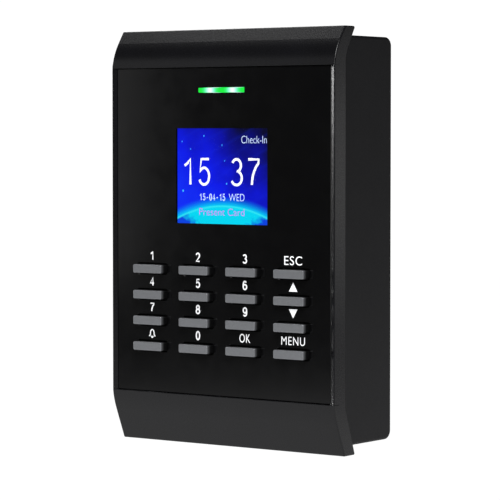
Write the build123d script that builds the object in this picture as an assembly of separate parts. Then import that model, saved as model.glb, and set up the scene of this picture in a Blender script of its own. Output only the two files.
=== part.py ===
"""Wall-mounted access terminal with a colour display, a card reader coil and a sixteen-key pad.

Frame, millimetres: X across the face, +Z up, the front faces -Y and the wall is the plane y = 0.
X is zero on the centre line and z is zero half way up the front cover. A "depth" below is a
distance back from the foremost plane of the front cover towards the wall.
"""
from build123d import *
from math import radians, tan
import os

# ---------------------------------------------------------------- driving dimensions
# overall
cover_width = 92.0            # front cover, side to side
cover_height = 139.6          # front cover, tip to tip
total_depth = 34.6            # foremost plane of the cover to the wall

# front cover: a shallow bow in side view, flat in the middle with two swept-back tips
cover_side_depth = 6.9        # how deep its side walls are in the flat stretch
top_swept_height = 9.3        # from the top tip down to where the front turns back
bottom_swept_height = 15.2
bottom_rear_swept_height = 15.8
top_sweep = 34.5              # degrees
bottom_sweep = 22.8
top_rear_sweep = 30.5         # the rear edge sweeps less, so the tips are a little thinner
bottom_rear_sweep = 19.8
top_bend_radius = 20.0
bottom_bend_radius = 25.0
rear_bend_radius = 8.0
cover_wall = 2.0
long_edge_round = 0.4         # rounding of the long front edges
tip_round = 0.5
band_edge_round = 0.2         # rounding of the two bands' edges at the panel

# front panel, at the bottom of a dish between the top band and the bottom band
top_band_height = 12.7
bottom_band_height = 17.2
rim_depth = 0.25              # the dish's outer edge lies this far behind the foremost plane
panel_recess = 1.05           # and the panel's front this far
rim_flat = 0.3
rim_width = 1.85              # side wall to panel, measured across the face
panel_thickness = 1.2
panel_gap = 0.15
panel_corner = 0.6
panel_edge = 0.15             # chamfer round the panel's front

# display
window_width = 37.7
window_height = 31.8
window_below_tip = 49.0       # window's middle below the cover's top tip
display_active_width = 39.6   # two-inch panel of 220 x 176 dots
display_outline_width = 51.3
display_outline_height = 37.7
display_bezel_depth = 2.6
display_view_margin = 0.7     # bezel opening past the active area
display_clearance = 0.4       # outline to the opening in the cover
bezel_wall = 0.2
glass_clearance = 0.2
glass_thickness = 1.1
gasket_thickness = 0.3
holder_wall = 1.5
holder_ledge = 6.0
flex_width = 14.0
flex_thickness = 0.2
flex_reach = 8.0
flex_inset = 9.0              # the flex leaves the display this far in from its side

# status light
light_width = 19.1
light_height = 1.75
light_below_tip = 20.4
light_clearance = 0.1
led_pitch = 9.3
led_width = 3.2
led_height = 1.6
led_depth = 1.4

# keypad
key_width = 12.1
key_height = 2.9
key_proud = 3.0
key_clearance = 0.45          # cap to panel opening, all round
key_flange = 1.0              # how far the retaining flange reaches past the opening
key_flange_thickness = 1.0
key_edge = 0.5                # corner radius of a cap, and most of its front rounding
well_corner = 0.6
well_ease = 0.12
column_pitch = 19.5
row_pitch = 8.75
keys_below_window = 31.55     # middle of the window to the top row of keys
mat_thickness = 1.0
mat_margin = 3.0              # mat past the outermost wells
dome_base_radius = 2.7
dome_top_radius = 1.8
dome_wall = 0.4
dome_roof = 0.9
pill_radius = 1.1
pill_thickness = 0.4
rest_gap = 0.1                # air between a cap's stem and its dome at rest

# boards
board_thickness = 1.2
board_corner = 2.0
board_side_gap = 4.3          # front board's edge to the cover's inside wall
board_end_gap = 3.35          # front board's edge to the edge of the panel
board_hole_inset = 4.0
front_board_depth = 8.2       # depth of the front board's front face
main_board_margin = 2.0       # the main board is this much narrower than the front board, each side
main_board_end_margin = 3.5
main_board_thickness = 1.6
main_board_standoff = 9.5     # back of the main board to the case's rear wall

# antenna coil, a wound ring inside the cover's side walls
coil_bar = 1.8
coil_clearance = 0.5
coil_end_gap = 1.2
coil_corner = 5.0

# rear case
case_top_inset = 3.0          # case ends stop short of the cover's tips by this much
case_bottom_inset = 3.15
case_inset = 0.35             # sides stand in from the cover's by this much
case_wall = 2.0
case_corner = 3.0
case_inner_corner = 1.5
case_edge = 1.0
seat_gap = 0.1                # cover to case along their joint
plate_recess = 2.0            # the wall plate lies in a recess this deep
lip_thickness = 1.5
lip_reach = 2.0
lip_root = 1.5
lip_clearance = 0.25
lip_end_gap = 5.0             # the side lips stop this short of the bends
sound_slot_x = 20.0
sound_slot_pitch = 2.6
sound_slot_width = 1.2
sound_slot_length = 10.0
sound_slot_depth = 14.0

# wall plate and its mounting
plate_thickness = 1.5
plate_z = 0.0                 # the plate's middle is the frame's origin
plate_side_margin = 8.65      # plate's edge to the case's side
plate_end_margin = 10.5       # plate's edge to the nearer end of the case
plate_gap = 0.6
plate_corner = 4.0
wall_hole_spacing_x = 46.0
wall_hole_spacing_z = 83.3    # with 46.0 this fits a two-gang wall box
wall_hole_radius = 2.1
cable_width = 52.0
cable_height = 24.0
cable_z = -4.0
cable_corner = 2.0
hook_width = 9.0
hook_reach = 2.2              # how far a hook stands inside the case's rear wall
hook_rise = 4.0               # height of its upturned lip
hook_spacing = 46.0
hook_below_plate_top = 22.0
hook_gap = 0.5
lock_tab_width = 12.0
lock_tab_depth = 8.0
lock_tab_gap = 0.6
lock_screw_radius = 1.5
lock_screw_head = 1.8
lock_screw_past_tab = 1.0

# fasteners
case_screw_side_inset = 4.65  # screw's axis to the inside of the case's side wall
case_screw_end_inset = 4.3    # and to the inside of its end wall
case_screw_radius = 1.3
case_screw_length = 9.0
screw_floor = 3.0             # what a case screw's head seats on
boss_radius = 3.0
board_boss_radius = 2.6
boss_skin = 0.5               # least cover left in front of a corner boss
column_wall = 1.4             # screw column past its boss
board_screw_radius = 1.0
board_screw_length = 5.0
screw_clearance = 0.25
screw_head_ratio = 1.9        # head radius over thread radius
head_clearance = 0.4

# tamper switch
tamper_x = -27.0
tamper_above_middle = 24.0    # over the main board's middle
tamper_radius = 1.5
tamper_clearance = 0.3
tamper_collar_radius = 2.0
tamper_collar = 0.8
tamper_body = 7.0
tamper_body_height = 6.0
tamper_spring_length = 2.2    # as the wall plate compresses it
tamper_spring_wire = 0.2
tamper_floor = 0.8

# wiring sockets: place across, height over the cable opening's middle, number of pins
socket_places = [(-14.5, 8.0, 8), (10.5, 8.0, 8), (-18.0, -5.0, 5), (0.0, -5.0, 5), (17.0, -5.0, 4)]
pin_pitch = 2.5
pin_size = 0.64
pin_length = 3.9
socket_height = 5.8
socket_tall = 6.5
socket_wall = 0.8
socket_floor = 1.6
socket_end = 1.2

# ribbon between the boards
ribbon_x = -18.0
ribbon_below_window = 28.8
ribbon_width = 20.0
ribbon_stack = 0.9            # folded thickness
header_width = 22.0
header_height = 5.0
header_tall = 2.6

# ---------------------------------------------------------------- worked out from those
through = 1.0                 # how far a cutting tool runs past what it cuts
half_width = cover_width / 2
half_height = cover_height / 2
top_bend_z = half_height - top_swept_height
bottom_bend_z = bottom_swept_height - half_height
bottom_rear_bend_z = bottom_rear_swept_height - half_height
panel_top_z = half_height - top_band_height
panel_bottom_z = bottom_band_height - half_height
panel_middle_z = (panel_top_z + panel_bottom_z) / 2
panel_width = cover_width - 2 * rim_width
window_z = half_height - window_below_tip
light_z = half_height - light_below_tip
panel_back = panel_recess + panel_thickness
plate_front_back = panel_back + cover_wall      # inside face of the cover behind the panel
well_width = key_width + 2 * key_clearance
well_height = key_height + 2 * key_clearance
columns = [(i - 1.5) * column_pitch for i in range(4)]
rows = [window_z - keys_below_window - i * row_pitch for i in range(4)]
flange_depth = plate_front_back + rest_gap      # front of a key's retaining flange
stem_back = flange_depth + key_flange_thickness
mat_back = front_board_depth
mat_front = mat_back - mat_thickness
dome_front = stem_back + rest_gap
bezel_front = panel_back + gasket_thickness
bezel_back = bezel_front + display_bezel_depth
case_half_width = half_width - case_inset
case_top_z = half_height - case_top_inset
case_bottom_z = case_bottom_inset - half_height
case_back_inner = total_depth - plate_recess - case_wall
case_screw_x = case_half_width - case_wall - case_screw_side_inset
case_screw_top_z = case_top_z - case_wall - case_screw_end_inset
case_screw_bottom_z = case_bottom_z + case_wall + case_screw_end_inset
front_board_width = 2 * (half_width - cover_wall - case_inset - board_side_gap)
front_board_height = panel_top_z - panel_bottom_z - 2 * board_end_gap
front_board_z = panel_middle_z
front_board_back = front_board_depth + board_thickness
main_board_width = front_board_width - 2 * main_board_margin
main_board_height = front_board_height - 2 * main_board_end_margin
main_board_z = front_board_z
main_board_back = case_back_inner - main_board_standoff
main_board_depth = main_board_back - main_board_thickness
plate_width = 2 * (case_half_width - plate_side_margin)
plate_height = 2 * (min(case_top_z, -case_bottom_z) - plate_end_margin)
hook_z = plate_z + plate_height / 2 - hook_below_plate_top
hook_lift = hook_rise - plate_thickness + hook_gap
lock_tab_z = plate_z - plate_height / 2         # lower face of the plate's lock tab
lock_screw_depth = case_back_inner - lock_tab_depth / 2 + hook_gap
ribbon_z = window_z - ribbon_below_window
tamper_z = main_board_z + tamper_above_middle
tamper_spring_seat = main_board_back + tamper_floor
tamper_collar_depth = tamper_spring_seat + tamper_spring_length

os.makedirs("parts", exist_ok=True)


def at(depth):
    """Y of a depth behind the foremost plane."""
    return depth - total_depth


def block(x0, x1, d0, d1, z0, z1):
    """Box between two x, two depths and two z."""
    box = Box(x1 - x0, d1 - d0, z1 - z0)
    return Pos((x0 + x1) / 2, at((d0 + d1) / 2), (z0 + z1) / 2) * box


def slab(width, height, d0, d1, x=0.0, z=0.0, radius=0.0):
    """Plate with rounded corners, facing the front, from depth d0 to d1."""
    outline = RectangleRounded(width, height, radius) if radius else Rectangle(width, height)
    return extrude(Plane((x, at(d0), z), x_dir=(1, 0, 0), z_dir=(0, 1, 0)) * outline, d1 - d0)


def rod(radius, d0, d1, x=0.0, z=0.0):
    """Round bar along the depth."""
    return extrude(Plane((x, at(d0), z), x_dir=(1, 0, 0), z_dir=(0, 1, 0)) * Circle(radius), d1 - d0)


def side_profile(points, half, bends=()):
    """Closed outline of (depth, z) points swept across the width, some of its corners rounded."""
    outline = Polyline(*[(0, at(d), z) for d, z in points], close=True)
    bar = extrude(make_face(outline), half, dir=(1, 0, 0), both=True)
    for index, radius in bends:
        d, z = points[index]
        bend = bar.edges().filter_by(Axis.X).sort_by_distance((0, at(d), z))[0]
        bar = fillet(bend, radius)
    return bar


def swept_back(z, bend_z, sweep):
    """Depth that a swept surface gains between its bend and height z."""
    return tan(radians(sweep)) * abs(z - bend_z)


def save(shape, name):
    shape.label = name
    export_step(shape, f"parts/{name}.step")


def group(solids):
    """Several separate solids kept as one node."""
    return Compound(children=list(solids))


def corners(dx, dz, x=0.0, z=0.0):
    return [(x + i * dx / 2, z + j * dz / 2) for i in (-1, 1) for j in (-1, 1)]


def machine_screw(radius, length, head_depth, x, z, towards_wall=False):
    """Pan-head screw along the depth; head_depth is the plane under its head.

    The head is on the wall side unless towards_wall, when its tip points at the wall.
    """
    head_radius = radius * screw_head_ratio
    head_height = radius * 1.1
    turn = -1 if towards_wall else 1
    head_end = head_depth + turn * head_height
    head = rod(head_radius, min(head_depth, head_end), max(head_depth, head_end), x, z)
    rim = head.edges().filter_by(GeomType.CIRCLE).sort_by(Axis.Y)[-1 if turn > 0 else 0]
    head = fillet(rim, head_height * 0.45)
    tip = head_depth - turn * length
    shank = rod(radius, min(head_depth, tip), max(head_depth, tip), x, z)
    socket = head_end - turn * head_height * 0.55
    blade = radius * 0.32
    low, high = min(head_end, socket), max(head_end, socket)
    cross = block(x - radius, x + radius, low, high, z - blade, z + blade)
    cross += block(x - blade, x + blade, low, high, z - radius, z + radius)
    return head + shank - cross


# ---------------------------------------------------------------- casing
def cover_front_depth(z):
    """Depth of the cover's front surface, bends left sharp."""
    if z > top_bend_z:
        return swept_back(z, top_bend_z, top_sweep)
    if z < bottom_bend_z:
        return swept_back(z, bottom_bend_z, bottom_sweep)
    return 0.0


def cover_rear_depth(z):
    """Depth of the cover's rear edge, bends left sharp."""
    if z > top_bend_z:
        return cover_side_depth + swept_back(z, top_bend_z, top_rear_sweep)
    if z < bottom_rear_bend_z:
        return cover_side_depth + swept_back(z, bottom_rear_bend_z, bottom_rear_sweep)
    return cover_side_depth


def display_opening(clearance, d0, d1):
    width = display_outline_width + 2 * clearance
    height = display_outline_height + 2 * clearance
    return slab(width, height, d0, d1, z=window_z, radius=1.0)


def case_screw_places():
    heights = (case_screw_top_z, case_screw_bottom_z)
    return [(x, z) for x in (-case_screw_x, case_screw_x) for z in heights]


def front_board_screw_places():
    width = front_board_width - 2 * board_hole_inset
    return corners(width, front_board_height - 2 * board_hole_inset, z=front_board_z)


def main_board_screw_places():
    width = main_board_width - 2 * board_hole_inset
    return corners(width, main_board_height - 2 * board_hole_inset, z=main_board_z)


def front_cover():
    top, low = half_height, -half_height
    outline = [
        (cover_front_depth(top), top),
        (0.0, top_bend_z),
        (0.0, bottom_bend_z),
        (cover_front_depth(low), low),
        (cover_rear_depth(low), low),
        (cover_side_depth, bottom_rear_bend_z),
        (cover_side_depth, top_bend_z),
        (cover_rear_depth(top), top),
    ]
    bends = [(1, top_bend_radius), (2, bottom_bend_radius), (5, rear_bend_radius), (6, rear_bend_radius)]
    shell = side_profile(outline, half_width, bends)
    shell = rounded_long_edges(shell)
    shell = dished(shell)
    # hollow behind the face, inside the case's walls
    hollow_top = case_top_z - case_wall - lip_clearance
    hollow_low = case_bottom_z + case_wall + lip_clearance
    hollow_outline = [
        (cover_front_depth(hollow_top) + plate_front_back, hollow_top),
        (plate_front_back, top_bend_z),
        (plate_front_back, bottom_bend_z),
        (cover_front_depth(hollow_low) + plate_front_back, hollow_low),
        (total_depth, hollow_low),
        (total_depth, hollow_top),
    ]
    shell -= side_profile(hollow_outline, half_width - cover_wall - case_inset, [(1, 3.0), (2, 3.0)])
    # window, light and key openings behind the panel
    behind = (panel_back - through, plate_front_back + through)
    shell -= display_opening(display_clearance, *behind)
    shell -= slab(light_width + 4 * panel_gap, light_height + 4 * panel_gap, *behind, z=light_z)
    for x in columns:
        for z in rows:
            shell -= slab(well_width, well_height, *behind, x=x, z=z, radius=well_corner)
    # side lips that locate the case
    lip_x = case_half_width - case_wall - lip_clearance
    lip_low, lip_high = bottom_rear_bend_z + lip_end_gap, top_bend_z - lip_end_gap
    lip_front = cover_side_depth - lip_root
    for side in (-1, 1):
        x0, x1 = sorted((side * (lip_x - lip_thickness), side * lip_x))
        shell += block(x0, x1, lip_front, cover_side_depth + lip_reach, lip_low, lip_high)
        x0, x1 = sorted((side * (lip_x - lip_thickness), side * (half_width - cover_wall)))
        shell += block(x0, x1, lip_front, cover_side_depth, lip_low, lip_high)
    # bosses for the front board and for the case screws
    for x, z in front_board_screw_places():
        pilot = front_board_back - board_screw_length - panel_gap
        shell += rod(board_boss_radius, panel_back + through, front_board_depth, x, z)
        shell -= rod(board_screw_radius, pilot, front_board_depth + through, x, z)
    for x, z in case_screw_places():
        shell += rod(boss_radius, boss_root(z), case_boss_depth(), x, z)
        pilot = case_boss_depth() - case_screw_length + screw_floor
        shell -= rod(case_screw_radius, pilot, case_boss_depth() + through, x, z)
    return shell


def rounded_long_edges(shell):
    """Round the tips' front and rear corners, then the long front edges from tip to tip."""
    tips = [e for e in shell.edges().filter_by(Axis.X) if abs(abs(e.center().Z) - half_height) < 0.01]
    shell = fillet(tips, tip_round)
    sides = [
        e for e in shell.edges()
        if abs(abs(e.center().X) - half_width) < 0.01 and is_front_edge(e)
    ]
    return fillet(sides, long_edge_round)


def is_front_edge(edge):
    """True on the front outline of a side face, tips' end faces left out."""
    z = edge.center().Z
    depth = edge.center().Y + total_depth
    middle = (cover_front_depth(z) + cover_rear_depth(z)) / 2
    return depth < middle and abs(z) < half_height - tip_round


def dished(shell):
    """Set the middle back between the bands: sloping rims each side, and the panel's pocket."""
    seam = panel_back + cover_wall / 2
    shell -= block(-half_width - through, half_width + through, -through, seam, panel_bottom_z, panel_top_z)
    seams = (panel_top_z, panel_bottom_z)
    bands = [
        e for e in shell.edges().filter_by(Axis.X)
        if e.center().Y < at(seam / 2) and min(abs(e.center().Z - z) for z in seams) < 0.01
    ]
    shell = fillet(bands, band_edge_round)
    middle = block(-half_width, half_width, rim_depth, seam, panel_bottom_z, panel_top_z)
    front_sides = middle.edges().filter_by(Axis.Z).group_by(Axis.Y)[0]
    middle = fillet(front_sides, long_edge_round)
    outer = half_width - rim_flat
    inner = panel_width / 2 + panel_gap
    dish = [(-outer, rim_depth), (-inner, panel_recess), (inner, panel_recess), (outer, rim_depth)]
    section = Polyline(*[(x, at(d), panel_bottom_z) for x, d in dish], close=True)
    middle -= extrude(make_face(section), panel_top_z - panel_bottom_z, dir=(0, 0, 1))
    shell += middle
    pocket_width = panel_width + 2 * panel_gap
    pocket_height = panel_top_z - panel_bottom_z
    return shell - slab(
        pocket_width, pocket_height, panel_recess - through, panel_back, z=panel_middle_z, radius=panel_corner
    )


def case_boss_depth():
    """Depth where the cover's corner bosses meet the case's screw columns, clear of the rim."""
    return max(cover_rear_depth(case_top_z), cover_rear_depth(case_bottom_z)) + seat_gap


def boss_root(z):
    """Depth where a corner boss may start without showing through the swept front."""
    return max(cover_front_depth(z - boss_radius), cover_front_depth(z + boss_radius)) + boss_skin


def front_panel():
    height = panel_top_z - panel_bottom_z - 2 * panel_gap
    panel = slab(panel_width, height, panel_recess, panel_back, z=panel_middle_z, radius=panel_corner)
    panel = chamfer(panel.faces().sort_by(Axis.Y)[0].outer_wire().edges(), panel_edge)
    cuts = (panel_recess - through, panel_back + through)
    panel -= slab(window_width, window_height, *cuts, z=window_z)
    panel -= slab(light_width, light_height, *cuts, z=light_z, radius=2 * light_clearance)
    for x in columns:
        for z in rows:
            panel -= slab(well_width, well_height, *cuts, x=x, z=z, radius=well_corner)
    # the key openings' front edges are eased
    face = panel.faces().filter_by(Axis.Y).sort_by(Axis.Y)[0]
    wells = [wire for wire in face.inner_wires() if wire.center().Z < rows[0] + row_pitch / 2]
    return chamfer([edge for wire in wells for edge in wire.edges()], well_ease)


def is_front_edge_of_case(edge):
    """True on the side outline that follows the cover's rear edge."""
    z = edge.center().Z
    depth = edge.center().Y + total_depth
    ends = max(case_top_z, -case_bottom_z) - 0.2
    return depth < cover_rear_depth(z) + seat_gap + 0.6 and abs(z) < ends


def rear_case():
    front = cover_side_depth + seat_gap
    top, low = case_top_z, case_bottom_z
    outline = [
        (cover_rear_depth(top) + seat_gap, top),
        (front, top_bend_z),
        (front, bottom_rear_bend_z),
        (cover_rear_depth(low) + seat_gap, low),
        (total_depth, low),
        (total_depth, top),
    ]
    bends = [(1, rear_bend_radius), (2, rear_bend_radius), (4, case_corner), (5, case_corner)]
    case = side_profile(outline, case_half_width, bends)
    outer_edges = [
        e for e in case.edges()
        if abs(abs(e.center().X) - case_half_width) < 0.01 and not is_front_edge_of_case(e)
    ]
    case = fillet(outer_edges, case_edge)
    inner_height = top - low - 2 * case_wall
    middle = (top + low) / 2
    inner_width = 2 * (case_half_width - case_wall)
    case -= slab(inner_width, inner_height, -through, case_back_inner, z=middle, radius=case_inner_corner)
    # recess for the wall plate, with its two hook slots, the cable opening and the switch hole
    case -= slab(
        plate_width + 2 * plate_gap,
        plate_height + 2 * plate_gap,
        total_depth - plate_recess,
        total_depth + through,
        z=plate_z,
        radius=plate_corner,
    )
    back = (case_back_inner - through, total_depth + through)
    case -= slab(cable_width, cable_height, *back, z=cable_z, radius=cable_corner)
    slot_half = hook_width / 2 + hook_gap
    for x in (-hook_spacing / 2, hook_spacing / 2):
        # the slot's upper edge hangs on the hook; lifting by hook_lift frees the lip
        high_z = hook_z + plate_thickness + seat_gap
        case -= block(x - slot_half, x + slot_half, *back, hook_z - hook_lift, high_z)
    case -= rod(tamper_radius + tamper_clearance, *back, tamper_x, tamper_z)
    # slot for the lock tab and the hole for its screw in the bottom wall
    tab_half = lock_tab_width / 2 + lock_tab_gap
    case -= block(
        -tab_half, tab_half, *back, lock_tab_z - lock_tab_gap, lock_tab_z + plate_thickness + lock_tab_gap
    )
    hole = Cylinder(lock_screw_radius + screw_clearance, 3 * case_wall)
    case -= Pos(0, at(lock_screw_depth), low + case_wall / 2) * hole
    # slots that let the sounder be heard
    for i in range(-2, 3):
        x = sound_slot_x + i * sound_slot_pitch
        x0, x1 = x - sound_slot_width / 2, x + sound_slot_width / 2
        deep_end = sound_slot_depth + sound_slot_length
        case -= block(x0, x1, sound_slot_depth, deep_end, low - through, low + case_wall + through)
    # screw columns at the corners and posts for the main board
    column_front = case_boss_depth() + seat_gap
    floor = column_front + screw_floor
    inside = slab(2 * case_half_width - case_wall, top - low - case_wall, 0, total_depth, z=middle)
    for x, z in case_screw_places():
        column = rod(boss_radius + column_wall, column_front, case_back_inner + through, x, z)
        case += column & inside
        case -= rod(case_screw_radius + screw_clearance, 0, floor + through, x, z)
        head_hole = case_screw_radius * screw_head_ratio + head_clearance
        case -= rod(head_hole, floor, total_depth + through, x, z)
    for x, z in main_board_screw_places():
        pilot_end = main_board_depth + board_screw_length + panel_gap
        case += rod(board_boss_radius, main_board_back, case_back_inner + through, x, z)
        case -= rod(board_screw_radius, main_board_back - through, pilot_end, x, z)
    return case


# ---------------------------------------------------------------- display
def display_window():
    return slab(window_width, window_height, panel_recess, panel_back, z=window_z)


def view_opening(d0, d1):
    """What the gasket and the bezel leave open in front of the display."""
    width = display_active_width + 2 * display_view_margin
    height = window_height + 2 * display_view_margin
    return slab(width, height, d0, d1, z=window_z)


def display_outline(d0, d1, offset=0.0, radius=0.0):
    """Plate of the display's outline, grown by an offset all round."""
    width = display_outline_width + 2 * offset
    return slab(width, display_outline_height + 2 * offset, d0, d1, z=window_z, radius=radius)


def display_gasket():
    """Foam ring between the panel and the bezel."""
    ring = display_outline(panel_back, bezel_front, radius=2 * display_clearance)
    return ring - view_opening(panel_back - through, bezel_front + through)


def display_bezel():
    """Folded steel frame round the glass and the backlight."""
    shell = display_outline(bezel_front, bezel_back, radius=2 * display_clearance)
    shell -= display_outline(bezel_front + bezel_wall, bezel_back + through, -bezel_wall)
    return shell - view_opening(bezel_front - through, bezel_front + through)


def lcd_glass():
    front = bezel_front + bezel_wall
    return display_outline(front, front + glass_thickness, -bezel_wall - glass_clearance)


def backlight():
    front = bezel_front + bezel_wall + glass_thickness
    return display_outline(front, bezel_back, -bezel_wall - glass_clearance)


def display_holder():
    """Moulded tray that stands the display off the front board."""
    tray = display_outline(plate_front_back + 3 * rest_gap, front_board_depth, holder_wall, holder_wall)
    tray -= display_outline(0, bezel_back, panel_gap)
    return tray - display_outline(0, front_board_depth + through, holder_wall - holder_ledge)


flex_x = display_outline_width / 2 - flex_inset
flex_low_depth = front_board_depth - 1.0        # back face of the flex's lower run


def flex_band(x0, x1, d0, d1, clearance=0.0):
    half = flex_width / 2 + clearance
    return block(x0, x1, d0 - clearance / 4, d1 + clearance / 4, window_z - half, window_z + half)


def display_flex():
    """Flat cable from the display's side round to the connector on the front board."""
    low = flex_low_depth - flex_thickness
    ribbon = flex_band(flex_x - flex_reach, flex_x, bezel_back, bezel_back + flex_thickness)
    ribbon += flex_band(flex_x - flex_thickness, flex_x, bezel_back, low)
    return ribbon + flex_band(flex_x - flex_reach, flex_x, low, flex_low_depth)


def flex_connector():
    connector_tall = 2.0
    connector_width = 6.0
    x0 = flex_x - flex_reach - 3.0
    half = flex_width / 2 + 1.5
    front = front_board_depth - connector_tall
    body = block(x0, x0 + connector_width, front, front_board_depth, window_z - half, window_z + half)
    slot_start = flex_x - flex_reach - 1.0
    return body - flex_band(slot_start, flex_x, flex_low_depth - flex_thickness, flex_low_depth, 0.2)


# ---------------------------------------------------------------- status light
def light_bar():
    """Frosted light guide: flush bar, flange behind the cover and a foot over the lamps."""
    width, height = light_width - 2 * light_clearance, light_height - 2 * light_clearance
    bar = slab(width, height, panel_recess, plate_front_back + rest_gap, z=light_z, radius=0.25)
    flange_end = plate_front_back + key_flange_thickness
    flange = slab(light_width + 4.0, light_height + 3.0, plate_front_back, flange_end, z=light_z)
    foot_end = front_board_depth - led_depth - 2 * rest_gap
    return bar + flange + slab(light_width, light_height + 0.6, plate_front_back, foot_end, z=light_z)


def indicator_leds():
    places = (-led_pitch / 2, led_pitch / 2)
    return group(
        slab(led_width, led_height, front_board_depth - led_depth, front_board_depth, x=x, z=light_z)
        for x in places
    )


# ---------------------------------------------------------------- keypad
def key_cap(x, z):
    front_depth = panel_recess - key_proud
    cap = slab(key_width, key_height, front_depth, flange_depth + rest_gap, x=x, z=z, radius=key_edge)
    cap = fillet(cap.faces().sort_by(Axis.Y)[0].outer_wire().edges(), key_edge * 0.8)
    width, height = well_width + 2 * key_flange, well_height + 2 * key_flange
    return cap + slab(width, height, flange_depth, stem_back, x=x, z=z, radius=key_flange)


def keypad_mat():
    """Silicone sheet with a hollow dome under each key."""
    width = columns[-1] - columns[0] + well_width + 2 * mat_margin
    height = rows[0] - rows[-1] + well_height + 2 * mat_margin
    middle = (rows[0] + rows[-1]) / 2
    mat = slab(width, height, mat_front, mat_back, z=middle, radius=board_corner)
    roof = dome_front + dome_roof
    for x in columns:
        for z in rows:
            mat += dome(x, z, dome_base_radius, dome_top_radius, dome_front, mat_front)
            inner_base, inner_top = dome_base_radius - dome_wall, dome_top_radius - dome_wall
            mat -= dome(x, z, inner_base, inner_top, roof, mat_back + 0.01)
    return mat


def dome(x, z, base, top, d0, d1):
    """Cone frustum that widens from depth d0 to d1."""
    cone = Cone(bottom_radius=base, top_radius=top, height=d1 - d0)
    return Pos(x, at((d0 + d1) / 2), z) * Rot(90, 0, 0) * cone


def contact_pills():
    """Carbon discs under the domes."""
    roof = dome_front + dome_roof
    return group(rod(pill_radius, roof, roof + pill_thickness, x, z) for x in columns for z in rows)


# ---------------------------------------------------------------- boards and what is on them
def front_board():
    board = slab(
        front_board_width, front_board_height, front_board_depth, front_board_back,
        z=front_board_z, radius=board_corner
    )
    for x, z in front_board_screw_places():
        board -= rod(board_screw_radius + screw_clearance, 0, total_depth, x, z)
    return board


def main_board():
    board = slab(
        main_board_width, main_board_height, main_board_depth, main_board_back,
        z=main_board_z, radius=board_corner
    )
    for x, z in main_board_screw_places():
        board -= rod(board_screw_radius + screw_clearance, 0, total_depth, x, z)
    return board


def on_main(width, height, tall, x, z, radius=0.0):
    """Something standing on the front of the main board; z is over the board's middle."""
    front = main_board_depth - tall
    return slab(width, height, front, main_board_depth, x=x, z=z + main_board_z, radius=radius)


def behind_main(width, height, tall, x, z, radius=0.0):
    """Something standing on the back of the main board."""
    return slab(width, height, main_board_back, main_board_back + tall, x=x, z=z, radius=radius)


def front_rim(shape, radius):
    """Rounds the front circle of a round part."""
    return fillet(shape.edges().filter_by(GeomType.CIRCLE).sort_by(Axis.Y)[0], radius)


def processor():
    return chamfer(on_main(16.0, 16.0, 1.4, 4.0, 16.0).faces().sort_by(Axis.Y)[0].edges(), 0.3)


def memory_chips():
    return group([on_main(12.0, 8.0, 1.1, -16.0, 22.0), on_main(9.0, 7.0, 1.1, -16.0, 10.0)])


def network_transformer():
    return on_main(12.8, 16.4, 6.0, -22.0, -26.0, 0.5)


def relay():
    return chamfer(on_main(15.4, 19.2, 7.6, 24.0, -28.0).faces().sort_by(Axis.Y)[0].edges(), 0.5)


def capacitors():
    cans = []
    for x, z, radius, tall in ((-6.0, -38.0, 3.15, 6.8), (4.0, -38.0, 3.15, 6.8), (10.0, -26.0, 4.0, 7.6)):
        can = rod(radius, main_board_depth - tall, main_board_depth, x, z + main_board_z)
        cans.append(front_rim(can, 0.5))
    return group(cans)


def crystal():
    return on_main(11.4, 4.7, 3.5, 4.0, 30.0, 2.2)


cell_x = 24.0
cell_z = main_board_z + 8.0
cell_radius = 10.0
cell_thickness = 3.2
holder_floor = 1.0


def coin_cell_holder():
    """Round tray, open at one side so that the cell can be pushed out."""
    pocket_front = main_board_depth - 6.0
    pocket = main_board_depth - holder_floor
    tray = rod(cell_radius + 1.0, main_board_depth - 5.0, main_board_depth, cell_x, cell_z)
    tray -= rod(cell_radius + screw_clearance, pocket_front, pocket, cell_x, cell_z)
    return tray - block(cell_x, cell_x + cell_radius + 2.0, pocket_front, pocket, cell_z - 4.0, cell_z + 4.0)


def coin_cell():
    back = main_board_depth - holder_floor
    return front_rim(rod(cell_radius, back - cell_thickness, back, cell_x, cell_z), 0.4)


def sounder():
    front = main_board_depth - 8.0
    z = main_board_z + 36.0
    return rod(6.0, front, main_board_depth, cell_x, z) - rod(1.0, front - through, front + 1.5, cell_x, z)


def reader_chip():
    """Card reader's radio chip, on the back of the front board."""
    return slab(9.0, 6.0, front_board_back, front_board_back + 1.2, x=-20.0, z=window_z + 9.0)


def ribbon_connectors():
    """Two box headers that face each other across the gap between the boards."""
    place = {"x": ribbon_x, "z": ribbon_z}
    front = slab(header_width, header_height, front_board_back, front_board_back + header_tall, **place)
    rear = slab(header_width, header_height, main_board_depth - header_tall, main_board_depth, **place)
    return group([front, rear])


def ribbon_cable():
    front = front_board_back + header_tall
    return slab(ribbon_width, ribbon_stack, front, main_board_depth - header_tall, x=ribbon_x, z=ribbon_z)


def antenna_coil():
    """Wound ring close behind the face, just inside the cover's side walls."""
    outer_width = 2 * (half_width - cover_wall - case_inset - coil_clearance - lip_thickness)
    outer_height = front_board_height + 2 * coil_bar + 2 * coil_end_gap
    d0 = plate_front_back + 2 * rest_gap
    d1 = d0 + coil_bar
    ring = slab(outer_width, outer_height, d0, d1, z=front_board_z, radius=coil_corner)
    hole_width, hole_height = outer_width - 2 * coil_bar, outer_height - 2 * coil_bar
    return ring - slab(
        hole_width, hole_height, d0 - through, d1 + through, z=front_board_z, radius=coil_corner - coil_bar
    )


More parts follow.
